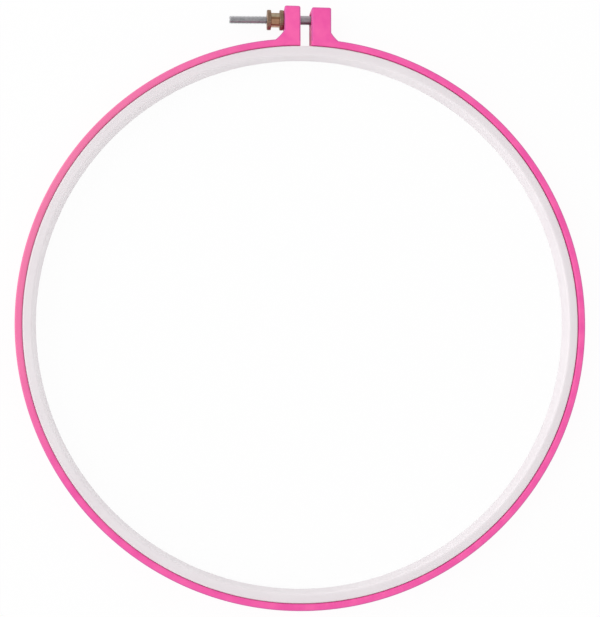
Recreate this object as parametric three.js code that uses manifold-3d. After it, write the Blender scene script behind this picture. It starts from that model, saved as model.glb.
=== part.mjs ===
// Embroidery hoop, lying on its back: a split outer ring clamped round a closed inner ring by a screw and a nut.
// Millimetres. +Z is up along the rings' axis, +Y points from the rings' centre to the lugs, the screw lies along X.
// The origin is under the middle of the whole hoop, on the surface that it lies on.

import * as THREE from 'three';
import { mergeVertices } from 'three/addons/utils/BufferGeometryUtils.js';
import Module from 'manifold-3d';

const wasm = await Module();
wasm.setup();

// Rings
const OUTER_RADIUS = 125;
const OUTER_WALL = 3;
const RING_DEPTH = 10;
const FABRIC_CLEARANCE = 0.3;
const INNER_WALL = 4.3;
const OUTER_EDGE_ROUND = 0.8;
const INNER_EDGE_ROUND = 0.9;

// Lugs and the split between them
const LUG_GAP = 5;
const LEFT_LUG_WIDTH = 7.05;
const RIGHT_LUG_WIDTH = 8.7;
const LUG_HEIGHT = 14.55;
const RIGHT_LUG_DROP = 0.45;
const LUG_CORNER_ROUND = 0.9;
const LEFT_FLARE_RISE = 3.7;
const LEFT_FLARE_SPREAD = 4;
const RIGHT_FLARE_RISE = 2.85;
const RIGHT_FLARE_SPREAD = 3.15;
const FLARE_HOLLOW = 0.15;

// The ring bends all round when it opens: a narrow slit opposite the lugs lets its halves turn instead
const FLEX_SLIT = 0.3;

// Screw
const SCREW_BELOW_LUG_TOP = 5.3;
const THREAD_DIAMETER = 3.5;
const NECK_DIAMETER = 4.2;
const NECK_REACH = 3.5;
const NECK_TAPER = 0.4;
const FREE_THREAD = 16.7;
const THREAD_END_CHAMFER = 0.5;
const HEAD_ACROSS_FLATS = 6;
const HEAD_HEIGHT = 2;
const HEAD_RECESS = 1.2;
const HEAD_CLEARANCE = 0.25;
const LUG_BORE_CLEARANCE = 0.35;

// Nut, a spool with a round flange at each end of a six-sided waist
const NUT_FLANGE_DIAMETER = 8.75;
const NUT_FLANGE_WIDTH = 1.8;
const NUT_WAIST_FLATS = 5.7;
const NUT_WAIST_LENGTH = 3.8;
const NUT_WAIST_TURN = 11;
const NUT_EDGE_CHAMFER = 0.25;
const NUT_BORE_CLEARANCE = 0.45;

// Gap left between pieces that rest on each other
const SEAT_GAP = 0.2;

// Smoothness of the facets
const RING_SEGMENTS = 144;
const ROUND_STEPS = 3;
const CORNER_STEPS = 4;
const FLARE_STEPS = 5;
const SCREW_SEGMENTS = 24;
const NUT_SEGMENTS = 36;
const HEX_SIDES = 6;

// Sizes that follow
const outerBore = OUTER_RADIUS - OUTER_WALL;
const innerRadius = outerBore - FABRIC_CLEARANCE;
const innerBore = innerRadius - INNER_WALL;
const leftLugSide = LUG_GAP / 2 + LEFT_LUG_WIDTH;
const rightLugSide = LUG_GAP / 2 + RIGHT_LUG_WIDTH;
const lugTop = OUTER_RADIUS + LUG_HEIGHT;
const screwY = lugTop - SCREW_BELOW_LUG_TOP;
const screwZ = RING_DEPTH / 2;
const pocketFloor = rightLugSide - HEAD_RECESS - HEAD_HEIGHT - SEAT_GAP;
const nutLength = 2 * NUT_FLANGE_WIDTH + NUT_WAIST_LENGTH;
const screwTip = leftLugSide + SEAT_GAP + nutLength + FREE_THREAD;
const ringCentreY = -LUG_HEIGHT / 2;

// Materials
const pinkPlastic = () => new THREE.MeshStandardMaterial({ color: '#f8599f', roughness: 0.42, metalness: 0 });
const whitePlastic = () => new THREE.MeshStandardMaterial({ color: '#e9e6e8', roughness: 0.38, metalness: 0 });
const zincSteel = () => new THREE.MeshStandardMaterial({ color: '#a9acb1', roughness: 0.35, metalness: 1 });
const brass = () => new THREE.MeshStandardMaterial({ color: '#b58a55', roughness: 0.3, metalness: 1 });

// A closed mesh as a solid that can be joined and cut
function toSolid(geometry) {
  const bare = geometry.index ? geometry : mergeVertices(geometry);
  bare.deleteAttribute('normal');
  bare.deleteAttribute('uv');
  const welded = mergeVertices(bare);
  const vertProperties = new Float32Array(welded.attributes.position.array);
  const triVerts = new Uint32Array(welded.index.array);
  return new wasm.Manifold(new wasm.Mesh({ numProp: 3, vertProperties, triVerts }));
}

function toGeometry(solid) {
  const { vertProperties, triVerts } = solid.getMesh();
  const geometry = new THREE.BufferGeometry();
  geometry.setAttribute('position', new THREE.BufferAttribute(new Float32Array(vertProperties), 3));
  geometry.setIndex(new THREE.BufferAttribute(new Uint32Array(triVerts), 1));
  geometry.computeVertexNormals();
  return geometry;
}

// Points along an arc, angles in radians from +X
function arc(centreX, centreY, radius, from, to, steps) {
  return Array.from({ length: steps + 1 }, (_, i) => {
    const angle = from + ((to - from) * i) / steps;
    return new THREE.Vector2(centreX + radius * Math.cos(angle), centreY + radius * Math.sin(angle));
  });
}

// A surface of revolution about X: each point is [distance from X, distance along X towards the screw's tip]
function turned(points, segments) {
  const profile = points.map(([radius, along]) => new THREE.Vector2(radius, along));
  return new THREE.LatheGeometry(profile, segments).rotateZ(Math.PI / 2);
}

// A round or six-sided bar along X on the screw's axis; turn is the angle it is turned by about that axis
function bar(radius, fromX, toX, sides, turn = 0) {
  const length = toX - fromX;
  const geometry = new THREE.CylinderGeometry(radius, radius, length, sides)
    .rotateZ(Math.PI / 2)
    .rotateX(turn)
    .translate(fromX + length / 2, screwY, screwZ);
  return toSolid(geometry);
}

function hexRadius(acrossFlats) {
  return acrossFlats / 2 / Math.cos(Math.PI / HEX_SIDES);
}

// Half of the outer ring with its lug, drawn on the +X side of the split; the left half is its mirror image
function halfOutline(lugSide, top, flareRise, flareSpread) {
  const gapFace = LUG_GAP / 2;
  const slitFace = FLEX_SLIT / 2;
  const flareFoot = lugSide + flareSpread;
  const steps = RING_SEGMENTS / 2;
  const quarter = Math.PI / 2;
  const angleAt = (x, radius) => Math.acos(x / radius);

  const foot = new THREE.Vector2(flareFoot, OUTER_RADIUS * Math.sin(angleAt(flareFoot, OUTER_RADIUS)));
  const start = new THREE.Vector2(lugSide, OUTER_RADIUS + flareRise);
  const corner = new THREE.Vector2(lugSide, foot.y);
  const control = foot.clone().add(start).multiplyScalar(0.5).lerp(corner, FLARE_HOLLOW);
  const flare = new THREE.QuadraticBezierCurve(foot, control, start).getPoints(FLARE_STEPS);

  const outside = arc(0, 0, OUTER_RADIUS, -angleAt(slitFace, OUTER_RADIUS), angleAt(flareFoot, OUTER_RADIUS), steps);
  const round = LUG_CORNER_ROUND;
  const sideCorner = arc(lugSide - round, top - round, round, 0, quarter, CORNER_STEPS);
  const gapCorner = arc(gapFace + round, top - round, round, quarter, 2 * quarter, CORNER_STEPS);
  const inside = arc(0, 0, outerBore, angleAt(gapFace, outerBore), -angleAt(slitFace, outerBore), steps);
  return [...outside, ...flare.slice(1), ...sideCorner, ...gapCorner, ...inside];
}

function outerHalf(outline, mirror) {
  const points = outline.map((point) => new THREE.Vector2(mirror * point.x, point.y));
  const geometry = new THREE.ExtrudeGeometry(new THREE.Shape(points), {
    depth: RING_DEPTH - 2 * OUTER_EDGE_ROUND,
    bevelThickness: OUTER_EDGE_ROUND,
    bevelSize: OUTER_EDGE_ROUND,
    bevelOffset: -OUTER_EDGE_ROUND,
    bevelSegments: ROUND_STEPS,
  });
  return toSolid(geometry.translate(0, 0, OUTER_EDGE_ROUND));
}

// The hole that the screw runs through, right through both lugs
function screwHole() {
  const radius = NECK_DIAMETER / 2 + LUG_BORE_CLEARANCE;
  return bar(radius, -2 * leftLugSide, 2 * rightLugSide, SCREW_SEGMENTS);
}

// The six-sided pocket, open on the right lug's outer side, that holds the head and keeps it from turning
function headPocket() {
  const radius = hexRadius(HEAD_ACROSS_FLATS + 2 * HEAD_CLEARANCE);
  return bar(radius, pocketFloor, 2 * rightLugSide, HEX_SIDES);
}

function leftHalf() {
  const outline = halfOutline(leftLugSide, lugTop, LEFT_FLARE_RISE, LEFT_FLARE_SPREAD);
  return toGeometry(outerHalf(outline, -1).subtract(screwHole()));
}

function rightHalf() {
  const outline = halfOutline(rightLugSide, lugTop - RIGHT_LUG_DROP, RIGHT_FLARE_RISE, RIGHT_FLARE_SPREAD);
  return toGeometry(outerHalf(outline, 1).subtract(screwHole()).subtract(headPocket()));
}

// The inner ring: a plain band whose four edges are rounded
function innerRing() {
  const round = INNER_EDGE_ROUND;
  const quarter = Math.PI / 2;
  const corners = [
    [innerRadius - round, round, -quarter],
    [innerRadius - round, RING_DEPTH - round, 0],
    [innerBore + round, RING_DEPTH - round, quarter],
    [innerBore + round, round, 2 * quarter],
  ];
  const section = corners.flatMap(([x, y, from]) => arc(x, y, round, from, from + quarter, ROUND_STEPS));
  section.push(section[0].clone());
  return new THREE.LatheGeometry(section, RING_SEGMENTS).rotateX(Math.PI / 2);
}

// The screw: six-sided head, plain neck through the gap, then a thinner threaded length to the tip
function screw() {
  const headSeat = pocketFloor + SEAT_GAP;
  const neckEnd = LUG_GAP / 2 + NECK_REACH;
  const neck = NECK_DIAMETER / 2;
  const thread = THREAD_DIAMETER / 2;
  const shaft = turned([
    [0, -headSeat - HEAD_HEIGHT / 2],
    [neck, -headSeat - HEAD_HEIGHT / 2],
    [neck, neckEnd - NECK_TAPER],
    [thread, neckEnd],
    [thread, screwTip - THREAD_END_CHAMFER],
    [thread - THREAD_END_CHAMFER, screwTip],
    [0, screwTip],
  ], SCREW_SEGMENTS).translate(0, screwY, screwZ);
  const head = bar(hexRadius(HEAD_ACROSS_FLATS), headSeat, headSeat + HEAD_HEIGHT, HEX_SIDES);
  return toGeometry(toSolid(shaft).add(head));
}

// One flange of the nut: a disc with chamfered rims, starting that far from the gap's middle
function flange(from) {
  const to = from + NUT_FLANGE_WIDTH;
  const rim = NUT_FLANGE_DIAMETER / 2;
  const face = rim - NUT_EDGE_CHAMFER;
  const disc = turned([
    [0, from],
    [face, from],
    [rim, from + NUT_EDGE_CHAMFER],
    [rim, to - NUT_EDGE_CHAMFER],
    [face, to],
    [0, to],
  ], NUT_SEGMENTS).translate(0, screwY, screwZ);
  return toSolid(disc);
}

// The nut, seated on the left lug's outer side; at 0 degrees its waist's turn has two flats facing up and down
function nut() {
  const seat = leftLugSide + SEAT_GAP;
  const end = seat + nutLength;
  const inside = NUT_FLANGE_WIDTH / 2;
  const turn = Math.PI / HEX_SIDES + THREE.MathUtils.degToRad(NUT_WAIST_TURN);
  const waist = bar(hexRadius(NUT_WAIST_FLATS), inside - end, -seat - inside, HEX_SIDES, turn);
  const bore = bar(THREAD_DIAMETER / 2 + NUT_BORE_CLEARANCE, -end - inside, inside - seat, SCREW_SEGMENTS);
  return toGeometry(flange(seat).add(flange(end - NUT_FLANGE_WIDTH)).add(waist).subtract(bore));
}

function named(name, geometry, material) {
  const mesh = new THREE.Mesh(geometry, material);
  mesh.name = name;
  return mesh;
}

const hoop = new THREE.Group();
hoop.position.y = ringCentreY;
hoop.add(
  named('outer_ring_left', leftHalf(), pinkPlastic()),
  named('outer_ring_right', rightHalf(), pinkPlastic()),
  named('inner_ring', innerRing(), whitePlastic()),
  named('clamp_screw', screw(), zincSteel()),
  named('clamp_nut', nut(), brass()),
);

export default hoop;
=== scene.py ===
"""Embroidery hoop on a pale table: a pink split ring clamped round a white inner ring by a screw and a nut.

Metres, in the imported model's own frame: +Z up along the rings' axis, +Y towards the lugs, the screw along X.
"""

import math

import bmesh
import bpy
from mathutils import Matrix, Vector

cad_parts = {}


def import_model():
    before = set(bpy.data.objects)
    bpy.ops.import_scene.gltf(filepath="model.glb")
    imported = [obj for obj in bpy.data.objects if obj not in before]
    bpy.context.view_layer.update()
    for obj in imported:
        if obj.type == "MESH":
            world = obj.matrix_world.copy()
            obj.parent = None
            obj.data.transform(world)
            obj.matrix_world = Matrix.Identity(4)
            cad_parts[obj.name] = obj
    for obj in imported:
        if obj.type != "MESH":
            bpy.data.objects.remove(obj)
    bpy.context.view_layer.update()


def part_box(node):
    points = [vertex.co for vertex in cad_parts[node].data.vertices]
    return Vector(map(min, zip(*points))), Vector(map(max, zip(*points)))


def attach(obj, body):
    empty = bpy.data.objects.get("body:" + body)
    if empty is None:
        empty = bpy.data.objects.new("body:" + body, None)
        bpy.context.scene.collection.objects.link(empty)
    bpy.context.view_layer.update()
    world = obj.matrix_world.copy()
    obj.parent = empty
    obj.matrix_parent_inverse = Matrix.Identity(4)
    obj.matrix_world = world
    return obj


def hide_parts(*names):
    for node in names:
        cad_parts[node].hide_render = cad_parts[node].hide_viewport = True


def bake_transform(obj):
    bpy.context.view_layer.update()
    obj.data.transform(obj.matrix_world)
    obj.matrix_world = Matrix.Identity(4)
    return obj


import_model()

MM = 0.001
QUARTER = math.pi / 2
SIXTH = math.pi / 3

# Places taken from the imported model
INNER_LOW, INNER_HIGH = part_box("inner_ring")
LEFT_LUG_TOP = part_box("outer_ring_left")[1].y
RIGHT_LUG_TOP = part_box("outer_ring_right")[1].y
SCREW_TIP = -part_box("clamp_screw")[0].x
HEAD_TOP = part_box("clamp_screw")[1].x
NUT_LOW, NUT_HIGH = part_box("clamp_nut")
CENTRE_Y = (INNER_LOW.y + INNER_HIGH.y) / 2
SCREW_Y = (NUT_LOW.y + NUT_HIGH.y) / 2
SCREW_Z = (NUT_LOW.z + NUT_HIGH.z) / 2

# Rings
RING_DEPTH = 10.0 * MM
OUTER_RADIUS = 125.0 * MM
OUTER_WALL = 3.1 * MM
OUTER_BORE = OUTER_RADIUS - OUTER_WALL
OUTER_EDGE = 0.8 * MM
INNER_RADIUS = INNER_HIGH.x
INNER_WALL = 4.3 * MM
INNER_EDGE = 0.9 * MM
INNER_SHIFT = Vector((-0.1 * MM, -0.04 * MM))

# Lugs; a flare is (how far it spreads, how far it rises)
LUG_GAP = 5.0 * MM
LEFT_LUG_WIDTH = 7.05 * MM
RIGHT_LUG_WIDTH = 8.7 * MM
LEFT_SIDE = LUG_GAP / 2 + LEFT_LUG_WIDTH
RIGHT_SIDE = LUG_GAP / 2 + RIGHT_LUG_WIDTH
LEFT_FLARE = (4.0 * MM, 3.7 * MM)
RIGHT_FLARE = (3.15 * MM, 2.85 * MM)
FLARE_HOLLOW = 0.15
LUG_CORNER = 0.9 * MM
LUG_DRAFT = 0.35 * MM
BORE_CORNER = 0.3 * MM
LUG_BORE = 2.45 * MM
HOLE_MOUTH = 0.25 * MM

# Screw's thread; it fades out over some turns, and the places are where on each turn
# the crest starts and ends and the root starts and ends, as shares of the pitch
THREAD_RADIUS = 1.75 * MM
THREAD_ROOT = 1.43 * MM
THREAD_PITCH = 0.6 * MM
THREAD_FADE_TURNS = 1.5
THREAD_CHAMFER = 0.5 * MM
THREAD_PLACES = (0.0, 0.125, 0.4375, 0.6875)
TIP_FACE = 0.6 * THREAD_ROOT
TIP_DIMPLE = 0.3 * THREAD_ROOT
TIP_DIMPLE_DEPTH = 0.1 * MM

# Screw's neck and head, and the pocket that holds the head
NECK_RADIUS = 1.95 * MM
NECK_REACH = 3.5 * MM
NECK_END = LUG_GAP / 2 + NECK_REACH
NECK_TAPER = 0.4 * MM
HEAD_HEIGHT = 2.0 * MM
HEAD_FLATS = 6.0 * MM
HEAD_FACE = 0.97 * HEAD_FLATS / 2
HEAD_CHAMFER_SLOPE = math.tan(math.radians(30))
HEAD_CLEARANCE = 0.25 * MM
HEAD_SEAT = HEAD_TOP - HEAD_HEIGHT
SEAT_GAP = 0.2 * MM
POCKET_FLOOR = HEAD_SEAT - SEAT_GAP
POCKET_CORNER = 0.4 * MM

# The screw leans in its holes, its head further from the rings; it crosses the nut's axis at LEAN_START
SCREW_LEAN = math.tan(math.radians(1.0))
LEAN_START = -15.5 * MM

# Nut
NUT_RIM = (NUT_HIGH.z - NUT_LOW.z) / 2
NUT_FLANGE_WIDTH = 1.8 * MM
NUT_WAIST_FLATS = 5.7 * MM
NUT_WAIST_CORNERS = 6.25 * MM
NUT_TURN = math.radians(29.5)
NUT_CHAMFER = 0.25 * MM
NUT_FILLET = 0.2 * MM
NUT_CLEARANCE = 0.45 * MM
NUT_BORE = THREAD_RADIUS + NUT_CLEARANCE
NUT_COUNTERSINK = 0.35 * MM
KNURLS = 32
KNURL_DEPTH = 0.16 * MM

# Sides with painted light, as directions from the rings' and the screw's axes: the pink paler towards the
# lamps, and the nut's waist facet paler as a painted reflection
PAINTED_LIGHT_SIDE = (-0.91, 0.41, 0.0)
SHEEN_FACET_SIDE = (0.0, 0.51, 0.86)

# How far from the axis such a tone starts, and how far out it is full
PAINTED_LIGHT_REACH = (0.5 * OUTER_RADIUS, OUTER_RADIUS)
SHEEN_FACET_REACH = (2.5 * MM, 2.75 * MM)
CORNER_REACH = (NUT_WAIST_FLATS / 2 + 0.12 * MM, NUT_WAIST_CORNERS / 2 - 0.05 * MM)
SHADE_REACH = (0.38 * THREAD_RADIUS, 0.83 * THREAD_RADIUS)

# Upward part of the surface's direction where the painted edge shade starts and is full: at the front, and at
# the side
EDGE_SHADE_FROM_FRONT = (0.998, 0.93)
EDGE_SHADE_FROM_SIDE = (0.0, 0.15)

# Depths of the plastics' and the metals' fine relief
GRAIN_DEPTH = 0.01 * MM
LINE_DEPTH = 0.015 * MM
PLASTIC_IOR = 1.49

# Smoothness
RING_STEPS = 360
ROUND_STEPS = 6
FLARE_STEPS = 12
UNDER_LUG_STEPS = 4
POCKET_CORNER_STEPS = 4
SUPPORT = 0.12 * MM
MERGE_DISTANCE = 0.001 * MM
SCREW_STEPS = 48
KNURL_STEPS = 8
SHARP_ANGLE = math.radians(33)

# Camera, at the photograph's viewing angle
CAMERA_YAW = math.radians(-5.01)
CAMERA_PITCH = math.radians(-2.5)
CAMERA_ROLL = math.radians(-0.142)
CAMERA_DISTANCE = 440.8 * MM
CAMERA_AIM = Vector((-2.65 * MM, CENTRE_Y + 5.74 * MM, RING_DEPTH / 2))
CAMERA_LENS = 58.35
CAMERA_CLIP = (0.01, 20.0)

# Light: the world's strength at its sides and overhead, how much more of it comes from the left than from
# the middle, and the lamps as (name, place, size, watts)
WORLD_SIDES = 1.15
WORLD_OVERHEAD = 0.63
WORLD_LEFTWARD = 0.06
LAMPS = (
    ("key", (-1.21, 0.26, 1.24), 0.9, 4.0),
    ("side", (-1.6, 0.1, 0.5), 0.8, 4.0),
)

# Floor and backdrop
FLOOR_RADIUS = 4.0
FLOOR_DROP = 0.05 * MM
FLOOR_TONE = 0.93
FLOOR_OWN_WHITE = 0.94
BACKDROP_FADE = (0.2, 0.3)


# Meshes

def arc(x, y, radius, start, end, steps):
    """Points along an arc, angles in radians from +X."""
    turns = [start + (end - start) * i / steps for i in range(steps + 1)]
    return [Vector((x + radius * math.cos(a), y + radius * math.sin(a))) for a in turns]


def piece_from(name, bm):
    """An object made from the bmesh, shaded smooth, with creases where faces meet at a sharp angle."""
    bmesh.ops.recalc_face_normals(bm, faces=bm.faces)
    for face in bm.faces:
        face.smooth = True
    for edge in bm.edges:
        edge.smooth = edge.calc_face_angle(math.pi) < SHARP_ANGLE
    mesh = bpy.data.meshes.new(name)
    bm.to_mesh(mesh)
    bm.free()
    piece = bpy.data.objects.new(name, mesh)
    bpy.context.scene.collection.objects.link(piece)
    return piece


def join_rows(bm, a, b):
    """A strip of four-sided faces between two closed rows of vertices."""
    for i in range(len(a)):
        j = (i + 1) % len(a)
        bm.faces.new((a[i], a[j], b[j], b[i]))


def around_x(bm, along, reach, steps):
    """A closed row of vertices round the screw's axis; reach is a distance, or a function of the angle.

    The angle runs from +Y towards -Z, so that it turns right-handed towards the screw's tip.
    """
    row = []
    for i in range(steps):
        turn = 2 * math.pi * i / steps
        radius = reach(turn) if callable(reach) else reach
        x = along(turn) if callable(along) else along
        y, z = radius * math.cos(turn), radius * math.sin(turn)
        row.append(bm.verts.new((x, SCREW_Y + y, SCREW_Z - z)))
    return row


def hexagon(flats, first_corner, most=1.0):
    """Distance from a six-sided bar's axis to its side, as a function of the angle.

    It is never more than most, which cuts the corners round.
    """
    def reach(turn):
        off_middle = (turn - first_corner) % SIXTH - SIXTH / 2
        return min(flats / 2 / math.cos(off_middle), most)

    return reach


def inner_ring():
    """The white band, a little off the middle, its four edges rounded between support loops."""
    low, high = INNER_RADIUS - INNER_WALL, INNER_RADIUS
    edge = INNER_EDGE
    corners = [
        (high - edge, edge, -QUARTER),
        (high - edge, RING_DEPTH - edge, 0.0),
        (low + edge, RING_DEPTH - edge, QUARTER),
        (low + edge, edge, 2 * QUARTER),
    ]
    section = []
    for x, y, start in corners:
        curve = arc(x, y, edge, start, start + QUARTER, ROUND_STEPS)
        before = Vector((math.sin(start), -math.cos(start))) * SUPPORT
        after = Vector((-math.cos(start), -math.sin(start))) * SUPPORT
        section += [curve[0] + before, *curve, curve[-1] + after]
    bm = bmesh.new()
    rows = []
    for radius, height in section:
        points = arc(INNER_SHIFT.x, CENTRE_Y + INNER_SHIFT.y, radius, 0, 2 * math.pi, RING_STEPS)[:-1]
        rows.append([bm.verts.new((p.x, p.y, height)) for p in points])
    for a, b in zip(rows, rows[1:] + rows[:1]):
        join_rows(bm, a, b)
    return piece_from("inner_band", bm)


def lug_outline(side, top, flare):
    """One lug on the +X side: where its flare starts on the ring, and its outline from there to the bore."""
    spread, rise = flare
    foot_x = side + spread
    foot = Vector((foot_x, math.sqrt(OUTER_RADIUS**2 - foot_x**2)))
    start = Vector((side, OUTER_RADIUS + rise))
    control = ((foot + start) / 2).lerp(Vector((side, foot.y)), FLARE_HOLLOW)
    points = []
    for i in range(1, FLARE_STEPS + 1):
        t = i / FLARE_STEPS
        points.append(foot.lerp(control, t).lerp(control.lerp(start, t), t))
    gap = LUG_GAP / 2
    bore_y = math.sqrt((OUTER_BORE + BORE_CORNER) ** 2 - (gap + BORE_CORNER) ** 2)
    points += arc(side - LUG_CORNER, top - LUG_CORNER, LUG_CORNER, 0, QUARTER, ROUND_STEPS)
    points += arc(gap + LUG_CORNER, top - LUG_CORNER, LUG_CORNER, QUARTER, 2 * QUARTER, ROUND_STEPS)
    points += arc(gap + BORE_CORNER, bore_y, BORE_CORNER, 2 * QUARTER, 3 * QUARTER, ROUND_STEPS)
    return foot, points


def inset(outline, distance):
    """A closed outline moved inwards, each of its corners along the mitre."""
    moved = []
    for i, point in enumerate(outline):
        before = (point - outline[i - 1]).normalized()
        after = (outline[(i + 1) % len(outline)] - point).normalized()
        side_before, side_after = Vector((before.y, -before.x)), Vector((after.y, -after.x))
        mitre = side_before + side_after
        moved.append(point - mitre * (distance / mitre.dot(side_before)))
    return moved


def square_bore_corners(points, right_end, left_length, distance):
    """Gathers each rounded corner at the bore into one point, for a row further in than its radius."""
    x = LUG_GAP / 2 + distance
    y = math.sqrt((OUTER_BORE + distance) ** 2 - x**2)
    left_start = len(points) - left_length
    for i in range(ROUND_STEPS + 1):
        points[right_end - 1 - i] = Vector((x, y))
        points[left_start + i] = Vector((-x, y))


def draft_gap_sides(points, right_end, left_length, draft):
    """Moves the lugs' sides at the gap towards each other."""
    left_start = len(points) - left_length
    for i in range(2 * (ROUND_STEPS + 1)):
        points[right_end - 1 - i].x -= draft
        points[left_start + i].x += draft


def split_ring():
    """The split ring with both lugs as one moulding, its edges rounded, with the screw's holes.

    The gap between the lugs narrows a little towards the back.
    """
    right_foot, right = lug_outline(RIGHT_SIDE, RIGHT_LUG_TOP - CENTRE_Y, RIGHT_FLARE)
    left_foot, left = lug_outline(LEFT_SIDE, LEFT_LUG_TOP - CENTRE_Y, LEFT_FLARE)
    right_turn = math.atan2(right_foot.y, right_foot.x)
    left_turn = -math.pi - math.atan2(left_foot.y, left_foot.x)
    left = [Vector((-p.x, p.y)) for p in reversed(left)]
    right_gap = math.atan2(right[-1].y, right[-1].x)
    left_gap = math.atan2(left[0].y, left[0].x) - 2 * math.pi
    under_right = arc(0, 0, OUTER_BORE, right_gap, right_turn, UNDER_LUG_STEPS)[1:-1]
    under_left = arc(0, 0, OUTER_BORE, left_turn, left_gap, UNDER_LUG_STEPS)[1:-1]
    outside = arc(0, 0, OUTER_RADIUS, left_turn, right_turn, RING_STEPS)
    inside = arc(0, 0, OUTER_BORE, right_turn, left_turn, RING_STEPS)
    outline = [*outside, *right, *under_right, *inside, *under_left, *left]

    layers = [(OUTER_EDGE + SUPPORT, 0.0)]
    for i in range(ROUND_STEPS + 1):
        turn = QUARTER * i / ROUND_STEPS
        layers.append((OUTER_EDGE * (1 - math.sin(turn)), OUTER_EDGE * (1 - math.cos(turn))))
    layers.append((0.0, OUTER_EDGE + SUPPORT))
    layers += [(distance, RING_DEPTH - height) for distance, height in reversed(layers)]

    bm = bmesh.new()
    rows = []
    for distance, height in layers:
        points = inset(outline, distance)
        right_end = len(outside) + len(right)
        if distance > BORE_CORNER:
            square_bore_corners(points, right_end, len(left), distance)
        draft_gap_sides(points, right_end, len(left), LUG_DRAFT * (1 - height / RING_DEPTH))
        rows.append([bm.verts.new((p.x, p.y + CENTRE_Y, height)) for p in points])
    for a, b in zip(rows, rows[1:]):
        join_rows(bm, a, b)
    inside_start = len(outside) + len(right) + len(under_right)
    inside_end = inside_start + RING_STEPS
    for row in (rows[0], rows[-1]):
        for i in range(RING_STEPS):
            bm.faces.new((row[i], row[i + 1], row[inside_end - i - 1], row[inside_end - i]))
        bm.faces.new(row[RING_STEPS:inside_start + 1])
        bm.faces.new(row[inside_end:] + row[:1])
    bmesh.ops.remove_doubles(bm, verts=bm.verts, dist=MERGE_DISTANCE)
    ring = piece_from("split_ring_uncut", bm)
    bore = hole(LUG_BORE, [(-LEFT_SIDE, 1), (-LUG_GAP / 2, -1)])
    cut_ring = without(ring, "split_ring_left_cut", bore)
    bore = hole(LUG_BORE, [(LUG_GAP / 2, 1), (POCKET_FLOOR, -1)])
    cut_ring = without(cut_ring, "split_ring_right_cut", bore)
    return without(cut_ring, "split_ring", head_pocket())


def mouth(x, inwards):
    """Stations along X where a hole opens with a rounded mouth, as (x, how much wider the hole is there).

    The first one lies outside the face, so that the cut goes through it.
    """
    stations = [(x - inwards * 2 * HOLE_MOUTH, HOLE_MOUTH)]
    for i in range(ROUND_STEPS + 1):
        turn = QUARTER * i / ROUND_STEPS
        depth = HOLE_MOUTH * (1 - math.cos(turn))
        stations.append((x + inwards * depth, HOLE_MOUTH * (1 - math.sin(turn))))
    return stations


def hole(radius, ends):
    """What a round hole takes away between two faces, each given as (x, direction into the material)."""
    first, last = ends
    stations = mouth(*first) + mouth(*last)[::-1]
    bm = bmesh.new()
    rows = [around_x(bm, x, radius + wider, SCREW_STEPS) for x, wider in stations]
    return leaning(capped("hole", bm, rows))


def head_pocket():
    """What the six-sided pocket for the screw's head takes away, its corners and its mouth rounded."""
    stations = [(POCKET_FLOOR, 0.0), *mouth(RIGHT_SIDE, -1)[::-1]]
    flats = HEAD_FLATS / 2 + HEAD_CLEARANCE
    to_corner = (flats - POCKET_CORNER) / math.cos(SIXTH / 2)
    bm = bmesh.new()
    rows = []
    for x, wider in stations:
        row = []
        for side in range(6):
            turn = SIXTH / 2 + side * SIXTH
            y, z = to_corner * math.cos(turn), to_corner * math.sin(turn)
            start, end = turn - SIXTH / 2, turn + SIXTH / 2
            for p in arc(y, z, POCKET_CORNER + wider, start, end, POCKET_CORNER_STEPS):
                row.append(bm.verts.new((x, SCREW_Y + p.x, SCREW_Z + p.y)))
        rows.append(row)
    return leaning(capped("pocket", bm, rows))


def capped(name, bm, rows):
    """A closed piece from rows of vertices, with a flat end at each end."""
    for a, b in zip(rows, rows[1:]):
        join_rows(bm, a, b)
    bm.faces.new(rows[0])
    bm.faces.new(rows[-1])
    return piece_from(name, bm)


def leaning(piece):
    """The piece with its sections across the screw moved to where the leaning screw passes."""
    for vertex in piece.data.vertices:
        vertex.co.y += (vertex.co.x - LEAN_START) * SCREW_LEAN
    return piece


def without(piece, name, cutter):
    """The piece with the cutter's volume taken out, under a new name; both old objects are removed."""
    step = piece.modifiers.new("cut", "BOOLEAN")
    step.operation = "DIFFERENCE"
    step.solver = "EXACT"
    step.object = cutter
    depsgraph = bpy.context.evaluated_depsgraph_get()
    bm = bmesh.new()
    bm.from_object(piece, depsgraph)
    bpy.data.objects.remove(cutter)
    bpy.data.objects.remove(piece)
    return piece_from(name, bm)


def thread_reach(along):
    """How far the thread's crest and root stand from the axis, at that distance along the screw."""
    fade = min(max((along - NECK_END) / (THREAD_FADE_TURNS * THREAD_PITCH), 0.0), 1.0)
    middle = (THREAD_RADIUS + THREAD_ROOT) / 2
    half = (THREAD_RADIUS - THREAD_ROOT) / 2 * fade
    limit = THREAD_RADIUS - THREAD_CHAMFER + SCREW_TIP - along
    return min(middle + half, limit), min(middle - half, limit)


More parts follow.
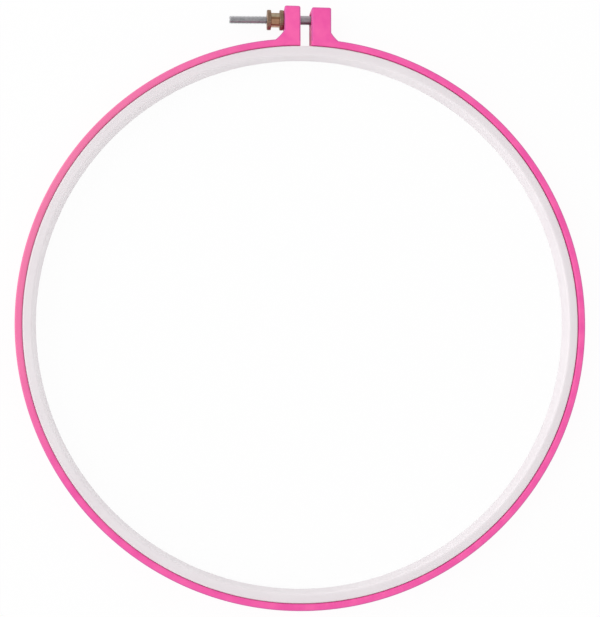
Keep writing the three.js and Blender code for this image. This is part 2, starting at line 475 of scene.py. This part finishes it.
def thread(bm, before, after):
    """The helical thread between two closed rows of vertices on the screw's shaft."""
    steps = SCREW_STEPS
    lines_per_turn = len(THREAD_PLACES)
    start = NECK_END + SUPPORT
    turns = int((SCREW_TIP - SUPPORT - start) / THREAD_PITCH) - 1
    lines = []
    for q in range(turns * lines_per_turn + 1):
        whole, place = divmod(q, lines_per_turn)
        line = []
        for i in range(steps):
            turn = 2 * math.pi * i / steps
            along = start + (whole + THREAD_PLACES[place] + i / steps) * THREAD_PITCH
            crest, root = thread_reach(along)
            radius = crest if place < 2 else root
            y, z = radius * math.cos(turn), radius * math.sin(turn)
            line.append(bm.verts.new((-along, SCREW_Y + y, SCREW_Z - z)))
        lines.append(line)
    last = steps - 1
    for a, b in [(before, lines[0]), *zip(lines, lines[1:]), (lines[-1], after)]:
        for i in range(last):
            bm.faces.new((a[i], a[i + 1], b[i + 1], b[i]))
    for q in range(len(lines) - lines_per_turn - 1):
        a, b = lines[q], lines[q + lines_per_turn]
        c, d = lines[q + lines_per_turn + 1], lines[q + 1]
        bm.faces.new((a[last], b[0], c[0], d[last]))
    first_turn = [line[0] for line in lines[:lines_per_turn + 1]]
    bm.faces.new([before[last], before[0], *first_turn, lines[0][last]])
    last_turn = [line[last] for line in lines[-lines_per_turn - 1:]]
    bm.faces.new([lines[-1][0], after[0], after[last], *reversed(last_turn)])


def clamp_screw():
    """The screw as one closed surface: chamfered head, neck, taper, helical thread and dimpled tip."""
    bm = bmesh.new()
    side = hexagon(HEAD_FLATS, SIXTH / 2)

    def chamfered(turn):
        return HEAD_TOP - (side(turn) - HEAD_FACE) * HEAD_CHAMFER_SLOPE

    rows = [
        around_x(bm, HEAD_TOP, HEAD_FACE, SCREW_STEPS),
        around_x(bm, chamfered, side, SCREW_STEPS),
        around_x(bm, HEAD_SEAT, side, SCREW_STEPS),
        around_x(bm, HEAD_SEAT, NECK_RADIUS, SCREW_STEPS),
        around_x(bm, NECK_TAPER - NECK_END, NECK_RADIUS, SCREW_STEPS),
        around_x(bm, -NECK_END, thread_reach(NECK_END)[0], SCREW_STEPS),
    ]
    tip = [
        around_x(bm, -SCREW_TIP, thread_reach(SCREW_TIP)[0], SCREW_STEPS),
        around_x(bm, -SCREW_TIP, TIP_FACE, SCREW_STEPS),
        around_x(bm, TIP_DIMPLE_DEPTH - SCREW_TIP, TIP_DIMPLE, SCREW_STEPS),
    ]
    for a, b in [*zip(rows, rows[1:]), *zip(tip, tip[1:])]:
        join_rows(bm, a, b)
    bm.faces.new(rows[0])
    bm.faces.new(tip[-1])
    thread(bm, rows[-1], tip[0])
    return leaning(piece_from("threaded_screw", bm))


def clamp_nut():
    """The nut as one closed surface: two knurled flanges, a six-sided waist and a countersunk bore."""
    steps = KNURLS * KNURL_STEPS
    waist = hexagon(NUT_WAIST_FLATS, -NUT_TURN, NUT_WAIST_CORNERS / 2)

    def knurled(turn):
        return NUT_RIM - KNURL_DEPTH * (1 - math.cos(KNURLS * turn)) / 2

    def widened(turn):
        return waist(turn) + NUT_FILLET

    face = NUT_RIM - NUT_CHAMFER
    low, high = NUT_LOW.x, NUT_HIGH.x
    inner_low, inner_high = low + NUT_FLANGE_WIDTH, high - NUT_FLANGE_WIDTH
    profile = [
        (low + NUT_COUNTERSINK, NUT_BORE),
        (low, NUT_BORE + NUT_COUNTERSINK),
        (low, face),
        (low + NUT_CHAMFER, knurled),
        (inner_low - NUT_CHAMFER, knurled),
        (inner_low, face),
        (inner_low, widened),
        (inner_low + NUT_FILLET, waist),
        (inner_high - NUT_FILLET, waist),
        (inner_high, widened),
        (inner_high, face),
        (inner_high + NUT_CHAMFER, knurled),
        (high - NUT_CHAMFER, knurled),
        (high, face),
        (high, NUT_BORE + NUT_COUNTERSINK),
        (high - NUT_COUNTERSINK, NUT_BORE),
    ]
    bm = bmesh.new()
    rows = [around_x(bm, x, reach, steps) for x, reach in profile]
    for a, b in zip(rows, rows[1:] + rows[:1]):
        join_rows(bm, a, b)
    return piece_from("spool_nut", bm)


# Materials

def new_material(name):
    """A node material: (material, its tree, its surface shader)."""
    made = bpy.data.materials.new(name)
    made.use_nodes = True
    return made, made.node_tree, made.node_tree.nodes["Principled BSDF"]


def add(tree, kind, settings=None, **inputs):
    """Adds a node; inputs are values or other nodes' outputs, with _ for a space in a socket's name."""
    node = tree.nodes.new(kind)
    for name, value in (settings or {}).items():
        setattr(node, name, value)
    for name, value in inputs.items():
        feed(tree, value, node.inputs[name.replace("_", " ")])
    return node


def feed(tree, value, socket):
    """Links a node's output to the socket, or sets the socket to a plain value."""
    if isinstance(value, bpy.types.NodeSocket):
        tree.links.new(value, socket)
    else:
        socket.default_value = value


def ramp(tree, factor, a, b, spread=0.2):
    """Goes from colour a to colour b while the factor passes the middle, within the spread on each side."""
    node = add(tree, "ShaderNodeValToRGB", Fac=factor)
    stops = ((0.5 - spread, a), (0.5 + spread, b))
    for element, (place, colour) in zip(node.color_ramp.elements, stops):
        element.position = place
        element.color = (*colour, 1)
    return node.outputs["Color"]


def span(tree, value, from_low, from_high, to_low=0.0, to_high=1.0):
    """Maps a value from one range to another, held at its ends."""
    node = add(tree, "ShaderNodeMapRange", Value=value)
    node.inputs["From Min"].default_value = from_low
    node.inputs["From Max"].default_value = from_high
    node.inputs["To Min"].default_value = to_low
    node.inputs["To Max"].default_value = to_high
    return node.outputs["Result"]


def maths(tree, operation, a, b=0.0):
    node = add(tree, "ShaderNodeMath", {"operation": operation})
    feed(tree, a, node.inputs[0])
    feed(tree, b, node.inputs[1])
    return node.outputs["Value"]


def blended(tree, factor, a, b):
    """Goes from colour a to colour b as the factor goes from 0 to 1."""
    node = add(tree, "ShaderNodeMix", {"data_type": "RGBA"})
    feed(tree, factor, node.inputs[0])
    feed(tree, a, node.inputs[6])
    feed(tree, b, node.inputs[7])
    return node.outputs[2]


def noise(tree, place, scale, detail):
    return add(tree, "ShaderNodeTexNoise", Vector=place, Scale=scale, Detail=detail).outputs["Fac"]


def object_place(tree, offset=(0, 0, 0), stretch=(1, 1, 1)):
    """The surface point in the piece's own coordinates, moved and stretched."""
    coordinates = add(tree, "ShaderNodeTexCoord").outputs["Object"]
    moved = add(tree, "ShaderNodeMapping", Vector=coordinates)
    moved.inputs["Location"].default_value = offset
    moved.inputs["Scale"].default_value = stretch
    return moved.outputs["Vector"]


def length_of(tree, vector):
    node = add(tree, "ShaderNodeVectorMath", {"operation": "LENGTH"}, Vector=vector)
    return node.outputs["Value"]


def parts_of(tree, vector):
    """The vector's X, Y and Z as outputs."""
    return add(tree, "ShaderNodeSeparateXYZ", Vector=vector).outputs


def reach_along(tree, vector, direction):
    """How far the vector reaches in that direction."""
    node = add(tree, "ShaderNodeVectorMath", {"operation": "DOT_PRODUCT"})
    feed(tree, vector, node.inputs[0])
    feed(tree, direction, node.inputs[1])
    return node.outputs["Value"]


def bumped(tree, height, strength, depth, shader):
    """Gives the surface a fine relief without moving it."""
    node = add(tree, "ShaderNodeBump", Height=height, Strength=strength, Distance=depth)
    feed(tree, node.outputs["Normal"], shader.inputs["Normal"])


def moulded_plastic(name, tone, roughness, relief, values):
    """Satin moulded plastic with a fine grain and the mould's turned lines round the rings' axis.

    The tone is a function that makes the plastic's colour in a node tree. The roughness is a range that the
    smears go through, the relief is the grain's strength, and the values are for other sockets.
    """
    made, tree, shader = new_material(name)
    place = object_place(tree)
    from_axis = length_of(tree, object_place(tree, (0, -CENTRE_Y, 0), (1, 1, 0)))
    shader.inputs["IOR"].default_value = PLASTIC_IOR
    for socket, value in values.items():
        shader.inputs[socket].default_value = value
    feed(tree, tone(tree), shader.inputs["Base Color"])
    smears = noise(tree, place, scale=240, detail=4)
    feed(tree, span(tree, smears, 0.3, 0.7, *roughness), shader.inputs["Roughness"])
    grain = noise(tree, place, scale=1300, detail=2)
    lines = add(tree, "ShaderNodeTexNoise", {"noise_dimensions": "1D"}, W=from_axis, Scale=1600, Detail=1)
    bumped(tree, maths(tree, "ADD", grain, lines.outputs["Fac"]), relief, GRAIN_DEPTH, shader)
    return made


def clouded(tree, a, b, scale=38):
    """Goes softly to and fro between two colours."""
    return ramp(tree, noise(tree, object_place(tree), scale, detail=3), a, b, spread=0.16)


def edge_shade_mask(tree, from_centre):
    """1 where the split ring's front edges round down on its outside, else 0; there the pink gets painted
    shade.
    """
    tilt = parts_of(tree, add(tree, "ShaderNodeNewGeometry").outputs["Normal"])["Z"]
    below_front, above_side = span(tree, tilt, *EDGE_SHADE_FROM_FRONT), span(tree, tilt, *EDGE_SHADE_FROM_SIDE)
    rounded = maths(tree, "MULTIPLY", below_front, above_side)
    radius = length_of(tree, from_centre)
    outside = span(tree, radius, OUTER_BORE + OUTER_WALL / 2, OUTER_RADIUS - OUTER_EDGE)
    return maths(tree, "MULTIPLY", rounded, outside)


def pink_tone(tree):
    """Hot pink, made paler by painted light on the hoop's side towards the lamps, and darkened by painted
    shade on its other rounded front edges.
    """
    from_centre = object_place(tree, (0, -CENTRE_Y, 0), (1, 1, 0))
    fresh = clouded(tree, (0.868, 0.084, 0.372), (0.942, 0.118, 0.405), scale=170)
    # Painted light: a paler pink for the hoop's side towards the lamps
    lit_pink = clouded(tree, (0.87, 0.18, 0.38), (0.89, 0.20, 0.395))
    # Painted shade: a darker, duller pink for the rounded front edges
    shaded_edge_pink = clouded(tree, (0.64, 0.095, 0.350), (0.70, 0.105, 0.370))
    to_lit = span(tree, reach_along(tree, from_centre, PAINTED_LIGHT_SIDE), *PAINTED_LIGHT_REACH)
    return blended(tree, to_lit, blended(tree, edge_shade_mask(tree, from_centre), fresh, shaded_edge_pink), lit_pink)


def pink_plastic():
    values = {"Specular IOR Level": 0.4}
    return moulded_plastic("pink_plastic", pink_tone, roughness=(0.43, 0.55), relief=0.25, values=values)


def white_tone(tree):
    return clouded(tree, (0.785, 0.735, 0.76), (0.81, 0.765, 0.785))


def white_plastic():
    """Slightly milky, so that light spreads a little way inside it."""
    values = {
        "Subsurface Weight": 0.3,
        "Subsurface Radius": (1.0, 0.95, 0.95),
        "Subsurface Scale": 3.0 * MM,
    }
    return moulded_plastic("white_plastic", white_tone, roughness=(0.40, 0.52), relief=0.1, values=values)


def lined_metal(name, tone, roughness, mottling, lines, squeeze):
    """Metal with fine lines round the screw's axis, which are noise squeezed along X.

    The tone is a function that makes its colour from a node tree and the mottling. The roughness is a range
    that the mottling goes through. Mottling and lines are given as the scales of their noise.
    """
    made, tree, shader = new_material(name)
    mottling = noise(tree, object_place(tree), scale=mottling, detail=4)
    feed(tree, tone(tree, mottling), shader.inputs["Base Color"])
    feed(tree, span(tree, mottling, 0.3, 0.7, *roughness), shader.inputs["Roughness"])
    shader.inputs["Metallic"].default_value = 1.0
    lines = noise(tree, object_place(tree, stretch=(squeeze, 1, 1)), scale=lines, detail=3)
    bumped(tree, lines, 0.3, LINE_DEPTH, shader)
    return made


def zinc_tone(tree, mottling):
    """Bright on the thread, darker on the neck and the head, and darkened by painted shade on the side towards
    the rings.
    """
    bright = ramp(tree, mottling, (0.50, 0.50, 0.515), (0.60, 0.59, 0.605))
    # Painted shade: greyed and darker tones for the thread's and the neck's side towards the rings
    shaded_thread = ramp(tree, mottling, (0.37, 0.45, 0.43), (0.45, 0.53, 0.51))
    dull = ramp(tree, mottling, (0.33, 0.295, 0.32), (0.41, 0.37, 0.40))
    shaded_neck = ramp(tree, mottling, (0.16, 0.12, 0.14), (0.22, 0.17, 0.195))
    place = parts_of(tree, object_place(tree))
    straightened = maths(tree, "SUBTRACT", place["Y"], maths(tree, "MULTIPLY", place["X"], SCREW_LEAN))
    axis_y = SCREW_Y - LEAN_START * SCREW_LEAN
    # where the painted shade on the side towards the rings starts and is full
    to_shade = span(tree, straightened, axis_y - SHADE_REACH[0], axis_y - SHADE_REACH[1])
    to_neck = span(tree, place["X"], -NECK_END, NECK_TAPER - NECK_END)
    threaded = blended(tree, to_shade, bright, shaded_thread)
    neck = blended(tree, to_shade, dull, shaded_neck)
    return blended(tree, to_neck, threaded, neck)


def plated_steel():
    return lined_metal("zinc_steel", zinc_tone, roughness=(0.26, 0.42), mottling=700, lines=2400, squeeze=9)


def brass_tone(tree, tarnish):
    """Warm on the waist's flats, paler and yellower on one as a painted reflection, darker at its corners and
    browner on the flanges.
    """
    warm = ramp(tree, tarnish, (0.39, 0.215, 0.13), (0.54, 0.305, 0.185))
    # Painted reflection: a paler, yellower brass for the waist's facet facing up and away from the rings
    sheen_facet = ramp(tree, tarnish, (0.31, 0.25, 0.17), (0.43, 0.355, 0.24))
    corners = ramp(tree, tarnish, (0.24, 0.13, 0.07), (0.33, 0.18, 0.10))
    rims = ramp(tree, tarnish, (0.21, 0.135, 0.09), (0.31, 0.205, 0.14))
    from_axis = object_place(tree, (0, -SCREW_Y, -SCREW_Z), (0, 1, 1))
    to_sheen = span(tree, reach_along(tree, from_axis, SHEEN_FACET_SIDE), *SHEEN_FACET_REACH)
    radius = length_of(tree, from_axis)
    to_corner = span(tree, radius, *CORNER_REACH)
    to_rim = span(tree, radius, NUT_WAIST_CORNERS / 2, NUT_RIM - KNURL_DEPTH)
    waist = blended(tree, to_corner, blended(tree, to_sheen, warm, sheen_facet), corners)
    return blended(tree, to_rim, waist, rims)


def dulled_brass():
    return lined_metal("nut_brass", brass_tone, roughness=(0.40, 0.25), mottling=420, lines=1800, squeeze=12)


def pale_floor():
    """Pale, and white to seen rays but for a share of its own light and shadow."""
    made, tree, shader = new_material("pale_floor")
    shader.inputs["Base Color"].default_value = (FLOOR_TONE, FLOOR_TONE, FLOOR_TONE, 1)
    shader.inputs["Roughness"].default_value = 0.9
    white = add(tree, "ShaderNodeEmission", Color=(1, 1, 1, 1), Strength=1.0)
    share = maths(tree, "MULTIPLY", seen_rays(tree), FLOOR_OWN_WHITE)
    mix = add(tree, "ShaderNodeMixShader", Fac=share)
    tree.links.new(shader.outputs["BSDF"], mix.inputs[1])
    tree.links.new(white.outputs["Emission"], mix.inputs[2])
    tree.links.new(mix.outputs["Shader"], tree.nodes["Material Output"].inputs["Surface"])
    return made


def seen_rays(tree):
    """1 on camera, glossy and transmission rays, else 0."""
    path = add(tree, "ShaderNodeLightPath")
    rays = maths(tree, "MAXIMUM", path.outputs["Is Camera Ray"], path.outputs["Is Glossy Ray"])
    return maths(tree, "MAXIMUM", rays, path.outputs["Is Transmission Ray"])


# Studio

def floor():
    bm = bmesh.new()
    bmesh.ops.create_circle(bm, cap_ends=True, segments=64, radius=FLOOR_RADIUS)
    disc = piece_from("floor", bm)
    disc.location.z = -FLOOR_DROP
    disc.data.materials.append(pale_floor())


def world():
    """A little brighter to the left and dimmer overhead; a white backdrop stands round the horizon."""
    sky = bpy.data.worlds.new("studio")
    bpy.context.scene.world = sky
    sky.use_nodes = True
    tree = sky.node_tree
    direction = parts_of(tree, add(tree, "ShaderNodeTexCoord").outputs["Generated"])
    upward = span(tree, direction["Z"], BACKDROP_FADE[1], 1.0, WORLD_SIDES, WORLD_OVERHEAD)
    leftward = span(tree, direction["X"], -1.0, 1.0, WORLD_LEFTWARD, -WORLD_LEFTWARD)
    level = maths(tree, "ADD", upward, leftward)
    low = span(tree, direction["Z"], *BACKDROP_FADE, 1.0, 0.0)
    backdrop = maths(tree, "MULTIPLY", seen_rays(tree), low)
    light = add(tree, "ShaderNodeBackground", Color=(1, 1, 1, 1), Strength=level)
    white = add(tree, "ShaderNodeBackground", Color=(1, 1, 1, 1), Strength=1.0)
    mix = add(tree, "ShaderNodeMixShader", Fac=backdrop)
    tree.links.new(light.outputs["Background"], mix.inputs[1])
    tree.links.new(white.outputs["Background"], mix.inputs[2])
    tree.links.new(mix.outputs["Shader"], tree.nodes["World Output"].inputs["Surface"])


def lamp(name, place, size, energy):
    data = bpy.data.lights.new(name, "AREA")
    data.shape = "DISK"
    data.size = size
    data.energy = energy
    light = bpy.data.objects.new(name, data)
    bpy.context.scene.collection.objects.link(light)
    light.location = place
    light.rotation_euler = (-Vector(place)).to_track_quat("-Z", "Y").to_euler()


def set_camera():
    data = bpy.data.cameras.new("camera")
    camera = bpy.data.objects.new("camera", data)
    bpy.context.scene.collection.objects.link(camera)
    back = Vector((
        math.sin(CAMERA_YAW) * math.cos(CAMERA_PITCH),
        math.sin(CAMERA_PITCH),
        math.cos(CAMERA_YAW) * math.cos(CAMERA_PITCH),
    ))
    right = Vector((0, 1, 0)).cross(back).normalized()
    axes = Matrix((right, back.cross(right), back)).transposed()
    turn = axes @ Matrix.Rotation(CAMERA_ROLL, 3, "Z")
    camera.matrix_world = Matrix.Translation(CAMERA_AIM + back * CAMERA_DISTANCE) @ turn.to_4x4()
    data.lens = CAMERA_LENS
    data.clip_start, data.clip_end = CAMERA_CLIP
    bpy.context.scene.camera = camera


set_camera()
floor()
world()
for settings in LAMPS:
    lamp(*settings)
bpy.context.scene.view_settings.view_transform = "Standard"

ring = split_ring()
ring.data.materials.append(pink_plastic())
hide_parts("outer_ring_left", "outer_ring_right")
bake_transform(ring)

band = inner_ring()
band.data.materials.append(white_plastic())
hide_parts("inner_ring")
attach(band, "inner")

screw = clamp_screw()
screw.data.materials.append(plated_steel())
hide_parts("clamp_screw")
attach(screw, "outer_right")

nut = clamp_nut()
nut.data.materials.append(dulled_brass())
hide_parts("clamp_nut")
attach(nut, "nut")
